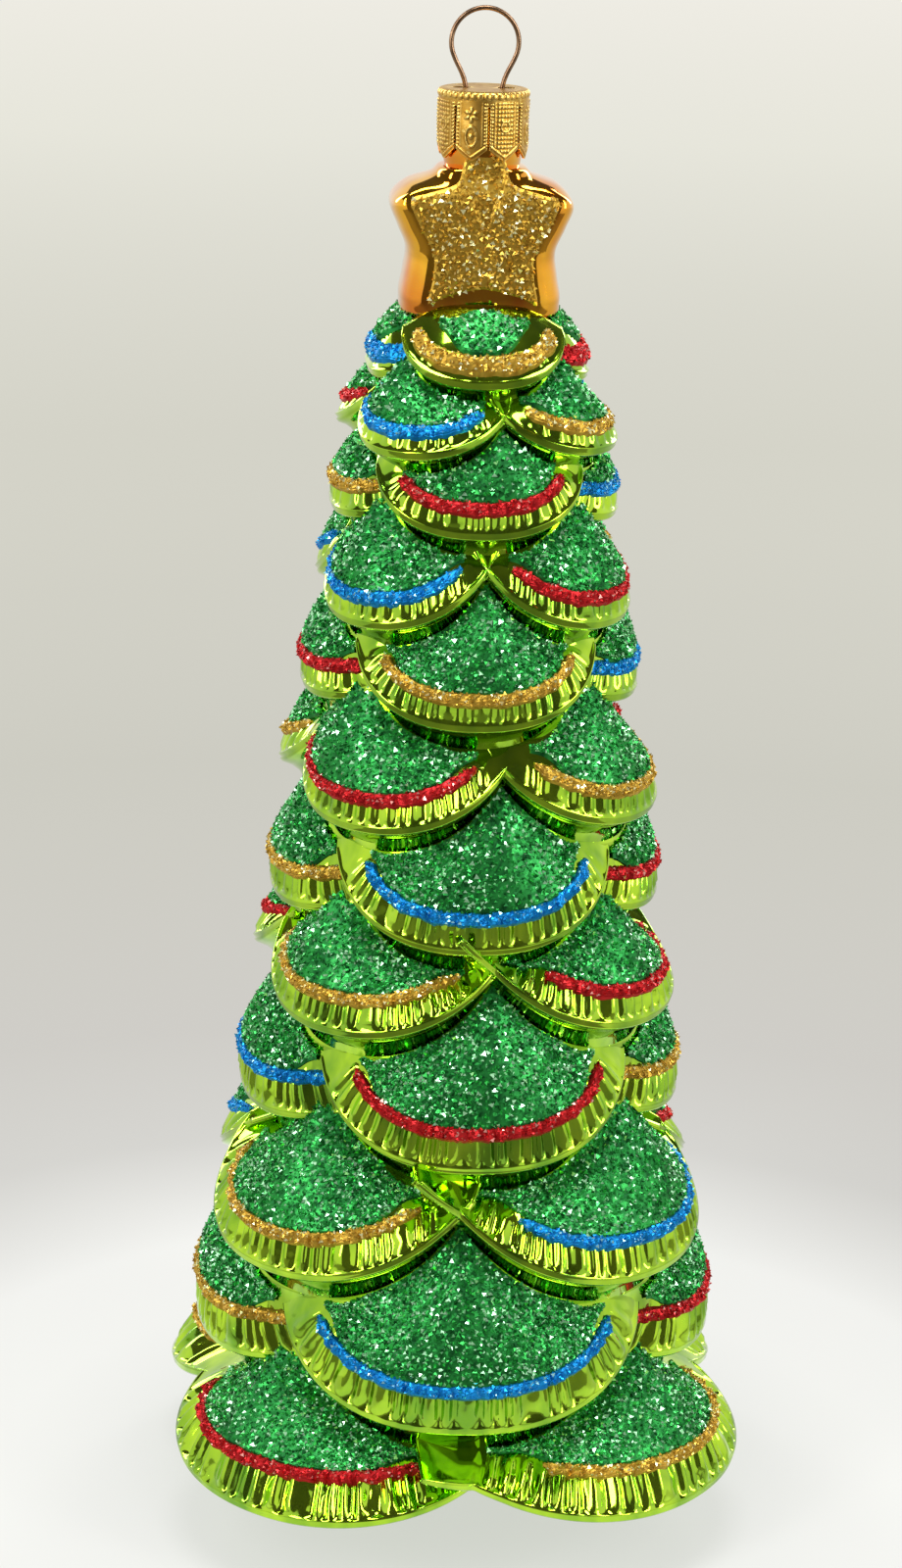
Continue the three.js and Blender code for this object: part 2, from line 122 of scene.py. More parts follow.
def wobble(x, y=0.0, z=0.0):
    """Smooth noise from -1 to 1 that is the same on each run."""
    return noise.noise(Vector((x, y, z)))


# %% A grid moved into place
def add_grid(bm, columns, rows, place):
    """Adds a grid to bm. place(across, down) gives each point's spot in mm, with both from 0 to 1."""
    made = bmesh.ops.create_grid(bm, x_segments=columns, y_segments=rows, size=0.5)
    for vert in made["verts"]:
        vert.co = place(vert.co.x + 0.5, 0.5 - vert.co.y) * MM
    return made["verts"]


# %% From a bmesh to a piece
def piece(name, bm, body, replaced, material, sharp=False):
    """Makes the object, hangs it under the empty of the body that carries it, and hides the CAD nodes it stands for.
    """
    for face in bm.faces:
        face.smooth = not sharp
    mesh = bpy.data.meshes.new(name)
    bm.to_mesh(mesh)
    bm.free()
    return piece_from_mesh(name, mesh, body, replaced, material)


def piece_from_mesh(name, mesh, body, replaced, material):
    made = bpy.data.objects.new(name, mesh)
    mesh.materials.append(material)
    bpy.context.scene.collection.objects.link(made)
    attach(made, body)
    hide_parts(*replaced)
    return made


# %% [markdown]
# ## Node groups that several finishes share
# A material is a small network of nodes. An effect that more than one finish needs is built once as a
# group with named inputs and outputs, and each material sets its own values on it. Everything is read from
# Object coordinates, in metres, so a pattern stays the same size on every piece.

# %% Helper for node trees
def feed(made, values):
    """Sets a node's inputs by name: a plain value is typed in, and a socket is linked."""
    for key, value in values.items():
        if isinstance(value, bpy.types.NodeSocket):
            made.id_data.links.new(value, made.inputs[key])
        else:
            made.inputs[key].default_value = value


def node(tree, kind, values=None, **settings):
    made = tree.nodes.new(kind)
    for key, value in settings.items():
        setattr(made, key, value)
    feed(made, values or {})
    return made


def math_node(tree, operation, *values):
    return node(tree, "ShaderNodeMath", dict(enumerate(values)), operation=operation).outputs[0]


def ramp(tree, source, stops):
    """A colour ramp through (place, colour) stops."""
    made = node(tree, "ShaderNodeValToRGB", {"Fac": source})
    elements = made.color_ramp.elements
    while len(elements) < len(stops):
        elements.new(0.5)
    for element, (at, colour) in zip(elements, stops):
        element.position = at
        element.color = (*colour, 1)
    return made.outputs["Color"]


def mix_colours(tree, share, first, second):
    made = node(tree, "ShaderNodeMix", data_type="RGBA")
    feed(made, {"Factor": share, "A": first, "B": second})
    return made.outputs["Result"]


def new_group(name, inputs, outputs):
    """A shader node group: inputs and outputs are (name, socket type, default) and (name, socket type)."""
    group = bpy.data.node_groups.new(name, "ShaderNodeTree")
    for title, kind, default in inputs:
        socket = group.interface.new_socket(title, in_out="INPUT", socket_type=kind)
        socket.default_value = default
    for title, kind in outputs:
        group.interface.new_socket(title, in_out="OUTPUT", socket_type=kind)
    return group, group.nodes.new("NodeGroupInput"), group.nodes.new("NodeGroupOutput")


def new_material(name):
    made = bpy.data.materials.new(name)
    made.use_nodes = True
    tree = made.node_tree
    return made, tree, tree.nodes["Principled BSDF"]


FLOAT, COLOUR = "NodeSocketFloat", "NodeSocketColor"


def seen_directly(tree):
    """1 for rays from the camera and from mirrors and glass, 0 for the light that reaches matt surfaces."""
    rays = node(tree, "ShaderNodeLightPath").outputs
    seen = math_node(tree, "ADD", rays["Is Camera Ray"], rays["Is Glossy Ray"])
    return math_node(tree, "MINIMUM", math_node(tree, "ADD", seen, rays["Is Transmission Ray"]), 1.0)


def rgb(red, green, blue):
    """A colour as a picture program gives it, 0 to 255, turned into the linear values that shaders use."""
    return tuple((c / 12.92 if c <= 0.04045 else ((c + 0.055) / 1.055) ** 2.4)
                 for c in (red / 255, green / 255, blue / 255))


# %% Lacquer that has run a little
# Hand-dipped lacquer is never even. It is thicker and darker where it collects, and thinner and paler
# where it runs off, in soft patches that are drawn out downwards.
lacquer_group, g_in, g_out = new_group(
    "uneven_lacquer",
    [("Thin", COLOUR, (1, 1, 1, 1)), ("Thick", COLOUR, (0, 0, 0, 1)), ("Patch Size", FLOAT, 0.006),
     ("Amount", FLOAT, 0.5)],
    [("Color", COLOUR), ("Ripple", FLOAT)],
)
coords = node(lacquer_group, "ShaderNodeTexCoord").outputs["Object"]
scale = math_node(lacquer_group, "DIVIDE", 1.0, g_in.outputs["Patch Size"])
drawn = node(lacquer_group, "ShaderNodeMapping", {"Vector": coords, "Scale": (1, 1, 0.55)}).outputs[0]
patches = node(lacquer_group, "ShaderNodeTexNoise",
               {"Vector": drawn, "Scale": scale, "Detail": 3.0, "Roughness": 0.5}).outputs["Fac"]
mask = node(lacquer_group, "ShaderNodeMapRange",
            {"Value": patches, "From Min": 0.35, "From Max": 0.68}).outputs[0]
mask = math_node(lacquer_group, "MULTIPLY", mask, g_in.outputs["Amount"])
mixed = mix_colours(lacquer_group, mask, g_in.outputs["Thin"], g_in.outputs["Thick"])
ripples = node(lacquer_group, "ShaderNodeTexNoise",
               {"Vector": drawn, "Scale": scale, "Detail": 1.0}).outputs["Fac"]
feed(g_out, {"Color": mixed, "Ripple": ripples})

# %% Chips of glitter
# Each chip carries its own random number in the attribute "chip". The group turns it into a colour: most chips are
# mid-tone, some are darker, a random tone and partly painted shade of chips that lie deep, and a few are painted
# pale, a painted sparkle that stands for chips facing the light; which chips are pale is random.
chip_group, g_in, g_out = new_group(
    "chip_colours",
    [("Dark", COLOUR, (0, 0, 0, 1)), ("Middle", COLOUR, (0.5, 0.5, 0.5, 1)), ("Bright", COLOUR, (1, 1, 1, 1)),
     ("Share Bright", FLOAT, 0.12)],
    [("Color", COLOUR), ("Roughness", FLOAT)],
)
chip = node(chip_group, "ShaderNodeAttribute", attribute_name="chip").outputs["Fac"]
dull = mix_colours(chip_group, chip, g_in.outputs["Dark"], g_in.outputs["Middle"])
edge = math_node(chip_group, "SUBTRACT", 1.0, g_in.outputs["Share Bright"])
painted_sparkle = math_node(chip_group, "GREATER_THAN", chip, edge)
with_painted_sparkle = mix_colours(chip_group, painted_sparkle, dull, g_in.outputs["Bright"])
rough = node(chip_group, "ShaderNodeMapRange", {"Value": chip, "To Min": 0.45, "To Max": 0.18}).outputs[0]
feed(g_out, {"Color": with_painted_sparkle, "Roughness": rough})
print("node groups:", [g.name for g in bpy.data.node_groups])

# %% Lacquered mirror glass
def mirror_glass(name, thin, thick, patch_size, amount):
    """Silvered glass under clear lacquer: a tinted mirror with a clear glossy coat over it."""
    made, tree, shader = new_material(name)
    lacquer = node(tree, "ShaderNodeGroup", node_tree=lacquer_group)
    feed(lacquer, {"Thin": (*rgb(*thin), 1), "Thick": (*rgb(*thick), 1), "Patch Size": patch_size, "Amount": amount})
    ripple = lacquer.outputs["Ripple"]
    rough = node(tree, "ShaderNodeMapRange", {"Value": ripple, "To Min": 0.05, "To Max": 0.13}).outputs[0]
    bump = node(tree, "ShaderNodeBump", {"Strength": 0.25, "Distance": 0.0004, "Height": ripple}).outputs[0]
    feed(shader, {"Base Color": lacquer.outputs["Color"], "Metallic": 1.0, "Roughness": rough, "Normal": bump,
                  "Coat Weight": 0.6, "Coat Roughness": 0.02})
    return made


lime_glass = mirror_glass("lime_lacquer", (190, 236, 46), (92, 158, 26), 0.005, 0.8)
amber_glass = mirror_glass("amber_lacquer", (255, 190, 40), (222, 105, 18), 0.006, 0.8)

# %% Glitter
def glitter(name, dark, middle, painted_sparkle, share):
    made, tree, shader = new_material(name)
    flakes = node(tree, "ShaderNodeGroup", node_tree=chip_group)
    for title, colour in (("Dark", dark), ("Middle", middle), ("Bright", painted_sparkle)):
        flakes.inputs[title].default_value = (*rgb(*colour), 1)
    flakes.inputs["Share Bright"].default_value = share
    feed(shader, {"Base Color": flakes.outputs["Color"], "Roughness": flakes.outputs["Roughness"], "Metallic": 0.8})
    return made


# Each glitter's colours: the dark one partly painted shade, the middle one, and the bright one a painted sparkle on a
# random share of the chips.
GLITTERS = {
    "green": glitter("green_glitter", (8, 74, 32), (74, 226, 104), (190, 255, 204), 0.26),
    "gold": glitter("gold_glitter_chips", (166, 128, 38), (248, 208, 88), (255, 250, 190), 0.25),
    "red": glitter("red_glitter", (160, 18, 24), (235, 52, 54), (255, 175, 165), 0.14),
    "blue": glitter("blue_glitter", (8, 112, 186), (34, 180, 245), (175, 242, 255), 0.17),
}

# %% [markdown]
# ## The branches
# Twelve rings of four branches. Rings with their branches on the front, back and sides take turns with
# rings that have them on the corners, as fish scales do. Each branch is a scale of its own: it comes out
# from under the ring above, swells, rolls over a fluted band to a thin ridge, has a smooth lip below that,
# and goes back in underneath. Its rim is a U, so the columns of its grid fan out towards the rim and the
# flutes stand square to it. The front and back scales lie over the side ones.

# %% The rings, from the top down
CAP_TOP = -9.1
STAR_CENTRE = CAP_TOP - 17.0
TREE_TOP, TREE_TOP_RADIUS = STAR_CENTRE - 11.6 + 3.1, 8.3
RIM_DEPTH = [33.6, 41.6, 51, 62.2, 74, 86.6, 101.3, 112, 128.6, 143, 161.3, 173]
REACH = [13.4, 18.5, 17.6, 21.6, 20.9, 25.4, 24.4, 29, 28, 35, 33.4, 41]
RIM_RISE = [4.5, 4.2, 6, 6.6, 7.5, 6.6, 9, 7.6, 10, 8.6, 10.5, 4.2]
RING_TURN = [0, 10, -1, 2, -1, 9, 0, 6, 2, -3, -1, 1]
BAND = [2.0, 2.4, 2.9, 2.9, 3.2, 3.4, 3.9, 4.0, 4.6, 4.6, 5.2, 5.8]
FLUTE_PITCH = [2.0, 2.0, 1.9, 1.9, 1.8, 1.9, 1.8, 1.9, 1.9, 2.0, 2.3, 2.6]
FLUTE_DEPTH = [0.06, 0.18, 0.24, 0.26, 0.3, 0.32, 0.36, 0.38, 0.44, 0.42, 0.48, 0.5]
DROP = [2.6 + 0.27 * ring for ring in range(11)] + [2.2]
LAPPING_RINGS = (7, 9, 11)
RINGS = range(len(RIM_DEPTH))
FRONT_HALF, SIDE_HALF, CORNER_HALF = 49.0, 41.0, 45.0
CORNER_STAND = 2.0
NOTCH, NOTCH_POWER, RIM_POWER = 0.16, 3, 2.4
SIDE_LIFT = 2.5
CREASE_SHARE, CREASE_SHARE_AT_NOTCH = 0.85, 0.9
FACE_NAMES = ["front", "right", "back", "left"]
CORNER_NAMES = ["front_right", "back_right", "back_left", "front_left"]


def on_circle(degrees, radius, height):
    angle = math.radians(degrees)
    return Vector((radius * math.sin(angle), -radius * math.cos(angle), height))


def reach_at(ring, angle):
    """The ring stands a little further out on the tree's corners."""
    inset = CORNER_STAND if ring % 2 else 0
    return REACH[ring] - inset + CORNER_STAND * (1 - math.cos(math.radians(4 * angle))) / 2


# %% The crease under a ring, at any angle round the tree
def crease_at(ring, turned):
    """Radius and height where a ring's underside ends and the next ring begins."""
    if ring < 0:
        return TREE_TOP_RADIUS, TREE_TOP
    angle = turned - RING_TURN[ring]
    first = CORNER_HALF if ring % 2 else 0
    index = round((angle - first) / 90)
    offset = abs(angle - first - 90 * index)
    if ring % 2:
        across = offset / CORNER_HALF
    elif index % 2 == 0:
        across = offset / FRONT_HALF if offset <= FRONT_HALF else (90 - offset) / SIDE_HALF
    else:
        across = offset / SIDE_HALF if offset <= SIDE_HALF else (90 - offset) / FRONT_HALF
    radius = reach_at(ring, angle) * (1 - NOTCH * across ** NOTCH_POWER)
    height = CAP_TOP - RIM_DEPTH[ring] + RIM_RISE[ring] * across ** RIM_POWER
    drop = DROP[ring] * lerp(1, 0.55, across ** 2)
    return radius * lerp(CREASE_SHARE, CREASE_SHARE_AT_NOTCH, across ** 2), height - drop


# %% One branch: its rim, and its surface between the crease above and the rim
class Branch:
    FAN = 0.8  # how much narrower the middle of the scale is where it comes out from under the ring above

    def __init__(self, ring, index):
        on_corner = ring % 2 == 1
        self.ring, self.index = ring, index
        self.name = f"ring_{ring + 1:02d}_" + (CORNER_NAMES if on_corner else FACE_NAMES)[index]
        self.middle = 90 * index + (CORNER_HALF if on_corner else 0)
        self.on_side = not on_corner and index % 2 == 1
        self.half = CORNER_HALF if on_corner else SIDE_HALF if self.on_side else FRONT_HALF
        self.extent = self.half * (1.06 if on_corner else 1.42 if self.on_side else 1.12)
        self.laps = ring in LAPPING_RINGS and index == 0
        self.band = BAND[ring]

    def offset(self, across):
        """Degrees from the branch's middle. A lapping branch reaches over its neighbour on its left."""
        return across * self.extent * (1.16 if self.laps and across < 0 else 1)

    def rim(self, across):
        """Turn, radius and height of the rim. across runs from -1 to 1."""
        offset = self.offset(across)
        share = abs(offset) / self.half
        if self.on_side:
            inset = NOTCH * min(share, 1) ** NOTCH_POWER + 0.06 * smooth(share, 1, 1.42)
            lift = SIDE_LIFT * self.ring / 10
            rise = lift + 0.35 * RIM_RISE[self.ring] * abs(across) ** 3
        else:
            inset = NOTCH * share ** NOTCH_POWER
            if self.laps and across < 0:
                inset = NOTCH * min(share, 2 - share) ** NOTCH_POWER - 0.025 * smooth(share, 0.85, 1.05)
            rise = RIM_RISE[self.ring] * share ** RIM_POWER
        radius = reach_at(self.ring, self.middle + offset) * (1 - inset)
        return (self.middle + offset + RING_TURN[self.ring], radius, CAP_TOP - RIM_DEPTH[self.ring] + rise)

    def top(self, across):
        fan = lerp(self.FAN, 1.06, smooth(abs(across), 0.55, 1.0)) if self.ring % 2 else self.FAN
        turned = self.middle + self.offset(across) * fan + RING_TURN[self.ring]
        radius, height = crease_at(self.ring - 1, turned)
        return turned, radius, height

    def column(self, across):
        """What every point of one column of the grid needs: its ends, its length and the way out."""
        top, rim = self.top(across), self.rim(across)
        top = (top[0], top[1], max(top[2], rim[2] + 1.5))
        sideways = math.radians(rim[0] - top[0]) * rim[1]
        length = math.hypot(rim[1] - top[1], rim[2] - top[2], sideways)
        steep = math.hypot(rim[1] - top[1], rim[2] - top[2])
        out, up = (top[2] - rim[2]) / steep, (rim[1] - top[1]) / steep
        return top, rim, length, out, up

    def drop(self, across):
        share = min(abs(self.offset(across)) / self.half, 1)
        return DROP[self.ring] * lerp(1, 0.55, share ** 2)

    def flute(self, across, above):
        """How far the ribs of the band stand out, above being the distance from the rim."""
        pitch, depth = FLUTE_PITCH[self.ring], FLUTE_DEPTH[self.ring]
        along = math.radians(self.offset(across)) * REACH[self.ring]
        seed = 7.3 * self.ring + 2.1 * self.index
        beat = along / pitch + 0.8 * wobble(along / 4.0, seed) + 0.1 * wobble(above / 1.4, seed, along / 2.0)
        rib = 0.8 * math.cos(2 * math.pi * beat) + 0.3 * abs(math.cos(math.pi * beat)) - 0.1
        rib *= 1.0 + 0.5 * wobble(math.floor(beat + 0.5) * 0.9, seed, 3.0)
        start = 0.35 + 0.25 * wobble(math.floor(beat + 0.5) * 1.7, seed, 8.0)
        in_band = smooth(above, start, start + 0.6) * (1 - smooth(above, self.band - 0.5, self.band + 0.6))
        return depth * rib * in_band * (1 - smooth(abs(across), 0.72, 0.88))

    def surface(self, across, above, lift=0.0, column=None):
        """A point on the scale, above mm up from the rim along its column, and lift mm off the glass."""
        top, rim, length, out, up = column or self.column(across)
        share = 1 - above / length
        turned, radius, height = (lerp(a, b, share) for a, b in zip(top, rim))
        crown = 0.09 * length * math.sin(math.pi * clamp(share) ** 1.25) * (1 - across ** 2)
        ridge = 0.26 * math.exp(-((above / 0.36) ** 2))
        fade = 1 - smooth(abs(across), 0.9, 1.0)
        off = crown + (ridge * fade) + self.flute(across, above) + lift
        return on_circle(turned, radius + off * out, height + off * up)


# %% The rows of a scale's grid, from its root down to its underside
ROOT_ROWS, DOME_ROWS, BAND_ROWS = 1, 6, 9
LIP = [(-0.16, 0.24), (0.0, 0.5), (-0.28, 0.84)]
UNDER = [(0.42, 0.14), (0.74, 0.38), (0.93, 0.72), (1.0, 1.0), (1.2, 1.5)]
ROW_COUNT = ROOT_ROWS + DOME_ROWS + BAND_ROWS + len(LIP) + len(UNDER)


def scale_point(branch, across, row):
    column = branch.column(across)
    top, rim, length, out, up = column
    band = min(branch.band + 0.7, 0.7 * length)
    if row < ROOT_ROWS:
        inwards, up_by = (0.6, 0.5) if branch.ring == 0 else (0.82, 2.5)
        return on_circle(top[0], top[1] * inwards, top[2] + up_by)
    row -= ROOT_ROWS
    if row < DOME_ROWS:
        return branch.surface(across, lerp(length, band, row / DOME_ROWS), column=column)
    row -= DOME_ROWS
    if row <= BAND_ROWS:
        return branch.surface(across, band * (1 - row / BAND_ROWS) ** 1.4, column=column)
    row -= BAND_ROWS + 1
    drop = branch.drop(across)
    share = abs(branch.offset(across)) / branch.half
    inner = rim[1] * lerp(CREASE_SHARE, CREASE_SHARE_AT_NOTCH, min(share, 1) ** 2)
    if row < len(LIP):
        outwards, down = LIP[row]
        return on_circle(rim[0], rim[1] + outwards, rim[2] - down)
    inwards, down = UNDER[row - len(LIP)]
    lip_out, lip_down = LIP[-1]
    radius = lerp(rim[1] + lip_out, inner, inwards)
    return on_circle(rim[0], radius, rim[2] - lerp(lip_down, drop, down))


# %% The glass rings
COLUMN_SPACING = 0.31
GLASS_WALL = 0.8
branches = [[Branch(ring, index) for index in range(4)] for ring in RINGS]


def close_wall(made, thickness):
    wall = made.modifiers.new("glass wall", "SOLIDIFY")
    wall.thickness = thickness * MM
    wall.offset = -1


for ring in RINGS:
    bm = bmesh.new()
    for branch in branches[ring]:
        arc = math.radians(2 * branch.extent) * REACH[ring]
        columns = round(arc / COLUMN_SPACING)
        add_grid(bm, columns, ROW_COUNT, lambda across, down, b=branch: scale_point(
            b, 2 * across - 1, round(down * ROW_COUNT)))
    made = piece(f"glass_ring_{ring + 1:02d}", bm, "glass", ["glass_body"], lime_glass)
    close_wall(made, GLASS_WALL)
    print(made.name, "faces:", len(made.data.polygons))

# %% The core behind the branches
# Where two branches meet there are small gaps between their rims. A closed skin just inside the creases
# stands behind them, and its lower end is the bottom of the tree.
CORE_INSET = 0.7
BASE_ROWS = [(0.8, 0.45), (0.6, 0.8), (0.4, 1.0), (0.2, 1.1), (0.0, 1.15)]


def core_point(across, down):
    angle = 360 * across
    row = round(down * (len(RIM_DEPTH) + 1 + len(BASE_ROWS)))
    if row == 0:
        return Vector((0, 0, TREE_TOP))
    if row <= len(RIM_DEPTH) + 1:
        radius, height = crease_at(row - 2, angle)
        return on_circle(angle, radius - CORE_INSET, height)
    share, below = BASE_ROWS[row - len(RIM_DEPTH) - 2]
    radius, height = crease_at(RINGS[-1], angle)
    lowest = CAP_TOP - RIM_DEPTH[-1] - DROP[-1]
    return on_circle(angle, (radius - CORE_INSET) * share, lerp(lowest, height, share ** 2) - 0.3 * below)


bm = bmesh.new()
add_grid(bm, 180, len(RIM_DEPTH) + 1 + len(BASE_ROWS), core_point)
bmesh.ops.remove_doubles(bm, verts=bm.verts, dist=1e-6)
print("core closed:", all(e.is_manifold for e in bm.edges))
made = piece("glass_core", bm, "glass", ["glass_body"], lime_glass)
print(made.name, "faces:", len(made.data.polygons))

# %% [markdown]
# ## The star and the neck
# The star is a puffy shape: a flat face at the front and one at the back, joined by a full rounded side.
# Its outline is a smooth closed curve through a few measured points, one for the widest place and one for
# the edge of the face. Loops between the two, at different depths, make the skin.

# %% The star's outlines, across and up from its centre
STAR_WIDEST = [(0, 8.0), (4.7, 7.9), (6.2, 6.9), (9.3, 5.7), (11.1, 3.4), (10.2, 0.6), (9.1, -2.2),
               (9.4, -5.2), (9.8, -8.2), (8.6, -10.6), (0, -11.6)]
STAR_FACE = [(0, 7.6), (3.2, 7.5), (4.1, 5.9), (7.2, 5.5), (9.4, 4.4), (8.2, 1.2), (6.5, -2.0),
             (6.6, -5.2), (7.0, -8.6), (5.2, -9.8), (0, -10.2)]
STAR_FIELD = [(0, 9.2), (2.3, 9.0), (3.3, 6.2), (6.8, 5.0), (8.9, 4.2), (7.8, 1.2), (6.1, -2.0),
              (6.1, -5.2), (6.5, -8.0), (4.2, -7.2), (0, -6.3)]
STAR_HALF_DEPTH, STAR_TOP_HALF_DEPTH = 6.5, 4.6
STAR_COLUMNS = 144


def closed_curve(half, samples):
    """Points on a smooth closed curve through a half outline and its mirror image."""
    points = [Vector(p) for p in half] + [Vector((-x, y)) for x, y in reversed(half[1:-1])]
    count = len(points)
    found = []
    for i in range(samples):
        at = count * i / samples
        k, share = int(at), at - int(at)
        before, here, after, beyond = (points[(k + j) % count] for j in (-1, 0, 1, 2))
        near, far = (after - before) / 2, (beyond - here) / 2
        s2, s3 = share ** 2, share ** 3
        found.append(here * (2 * s3 - 3 * s2 + 1) + near * (s3 - 2 * s2 + share)
                     + after * (3 * s2 - 2 * s3) + far * (s3 - s2))
    return found


star_widest, star_face = (closed_curve(half, STAR_COLUMNS) for half in (STAR_WIDEST, STAR_FACE))


def star_half_depth(up):
    return lerp(STAR_HALF_DEPTH, STAR_TOP_HALF_DEPTH, smooth(up, 3, 8))


# %% The skin of the star, from the middle of its back face to the middle of its front face
STAR_SECTIONS = [(1, -1), (1, -0.6), (1, -0.25), (0.995, -0.02), (0.98, 0.18), (0.93, 0.4), (0.85, 0.6),
                 (0.73, 0.77), (0.58, 0.89), (0.4, 0.96), (0.2, 0.99), (0, 1)]
STAR_ROWS = STAR_SECTIONS + [(-depth, out) for depth, out in reversed(STAR_SECTIONS[:-1])]


def star_point(across, down):
    column = round(across * STAR_COLUMNS) % STAR_COLUMNS
    depth, out = STAR_ROWS[round(down * (len(STAR_ROWS) - 1))]
    wide, face = star_widest[column], star_face[column]
    at = face.lerp(wide, out) if out > 0 else face * (1 + out)
    return Vector((at.x, depth * star_half_depth(at.y), STAR_CENTRE + at.y))


bm = bmesh.new()
add_grid(bm, STAR_COLUMNS, len(STAR_ROWS) - 1, star_point)
bmesh.ops.remove_doubles(bm, verts=bm.verts, dist=1e-6)
bmesh.ops.recalc_face_normals(bm, faces=bm.faces)
print("star faces:", len(bm.faces), "closed:", all(e.is_manifold for e in bm.edges))

# %% The neck, spun round the axis, in the same piece
NECK_PROFILE = [(3.75, -22), (3.75, -10.0), (4.0, -9.72), (4.5, -9.72), (4.75, -10.0), (4.75, -16.8),
                (4.7, -17.6), (4.55, -18.4), (4.2, -20.2)]


def spun(bm, profile, steps):
    """Spins a profile of (radius, height) points in mm round the axis, and merges the seam."""
    verts = [bm.verts.new(Vector((radius, 0, height)) * MM) for radius, height in profile]
    edges = [bm.edges.new(pair) for pair in zip(verts, verts[1:])]
    bmesh.ops.spin(bm, geom=verts + edges, cent=(0, 0, 0), axis=(0, 0, 1), angle=2 * math.pi,
                   steps=steps, use_merge=True)


neck = bmesh.new()
spun(neck, NECK_PROFILE, 96)
bmesh.ops.remove_doubles(neck, verts=neck.verts, dist=1e-6)
bmesh.ops.recalc_face_normals(neck, faces=neck.faces)
neck_mesh = bpy.data.meshes.new("neck")
neck.to_mesh(neck_mesh)
neck.free()
bm.from_mesh(neck_mesh)
bpy.data.meshes.remove(neck_mesh)
made = piece("glass_star", bm, "glass", ["glass_body"], amber_glass)
print(made.name, "faces:", len(made.data.polygons))

# %% [markdown]
# ## The glitter
# Glitter is thousands of chips in a bed of glue. The bed is a thin closed slab that follows the glass, and
# each chip is a tiny three-sided cone, four faces in all, that is turned at random, so every facet catches
# another part of the room. The chips of a field stand on a jittered grid, because real ones lie close
# together but never in rows.

# %% A bed of glitter with chips
CHIP = 0.32
CHIP_SPACING = 0.47


bm = bmesh.new()
bmesh.ops.create_cone(bm, cap_ends=True, segments=3, radius1=1, radius2=0, depth=1)
bm.verts.index_update()
CHIP_CORNERS = np.array([vert.co[:] for vert in bm.verts])
CHIP_SIDES = [[vert.index for vert in face.verts] for face in bm.faces]
bm.free()


def chips(spots, size, rng):
    """A bmesh with a copy of the chip at each spot, turned and sized at random, and its layer "chip"."""
    corners, shades = [], []
    for spot in spots:
        axis = Vector((rng.gauss(0, 1), rng.gauss(0, 1), rng.gauss(0, 1)))
        turned = np.array(Quaternion(axis, rng.uniform(0, 2 * math.pi)).to_matrix())
        corners.append(CHIP_CORNERS @ turned * size * rng.uniform(0.7, 1.35) + np.array(spot))
        shades.append(rng.random())
    count = len(CHIP_CORNERS)
    faces = [[i * count + k for k in side] for i in range(len(spots)) for side in CHIP_SIDES]
    mesh = bpy.data.meshes.new("chips")
    mesh.from_pydata((np.concatenate(corners) * MM).tolist(), [], faces)
    mesh.attributes.new("chip", "FLOAT", "POINT").data.foreach_set("value", np.repeat(shades, count))
    bm = bmesh.new()
    bm.from_mesh(mesh)
    bpy.data.meshes.remove(mesh)
    return bm, bm.verts.layers.float["chip"]


def add_bed(bm, layer, columns, rows, place, thickness, rng):
    """A slab: the grid is its top, and the copy of it that is pushed in along the way out is its underside."""
    verts = add_grid(bm, columns, rows, place)
    # The bed takes the dark end of the chip colours: painted shade under and between the chips.
    for vert in verts:
        vert[layer] = rng.uniform(0, 0.4)
    faces = list({face for vert in verts for face in vert.link_faces})
    bmesh.ops.solidify(bm, geom=faces, thickness=thickness * MM)


# %% The field and the stripe of each branch
FIELD_ACROSS = 0.78
FIELD_LIFT, FIELD_SUNK, FIELD_SPACING = 0.42, 0.25, 0.6
STRIPE_LIFT, STRIPE_WIDTH, STRIPE_SPACING = 0.6, 1.8, 0.45
STRIPE_CHIP, AREA_PER_STRIPE_CHIP = 0.26, 0.13
STRIPES = {
    "front": ["gold", "red", "gold", "blue", "red", "blue"],
    "right": ["red", "blue", "blue", "red", "gold", "red"],
    "back": ["red", "gold", "red", "gold", "blue", "gold"],
    "left": ["blue", "gold", "red", "gold", "blue", "gold"],
    "front_right": ["gold", "red", "gold", "red", "blue", "gold"],
    "back_right": ["blue", "gold", "red", "blue", "red", "blue"],
    "back_left": ["red", "blue", "gold", "red", "blue", "gold"],
    "front_left": ["blue", "blue", "red", "gold", "gold", "red"],
}


def stripe_ends(branch):
    if branch.laps:
        return -0.6, 0.78
    if branch.ring == 0:
        return -0.84, 0.84
    return (-0.86, 0.86) if branch.on_side else (-0.76, 0.76)


def field_end(branch):
    return 0.64 if branch.ring == 0 else FIELD_ACROSS


def field_limits(branch, across, column):
    """The field's lowest and highest places on a column, as distances above the rim."""
    length = column[2]
    low = min(branch.band * lerp(0.86, 1, across ** 2) + (1.9 if branch.ring == 0 else 1.35), 0.8 * length)
    edge = smooth(abs(across) / field_end(branch), 0.2 if branch.ring == 0 else 0.7, 1.0)
    return lerp(low, lerp(low, length, 0.45), edge), lerp(length - 0.2, lerp(low, length, 0.62), edge)


def field_spot(branch, across, share, lift):
    column = branch.column(across)
    low, high = field_limits(branch, across, column)
    return branch.surface(across, lerp(high, low, share), lift, column)


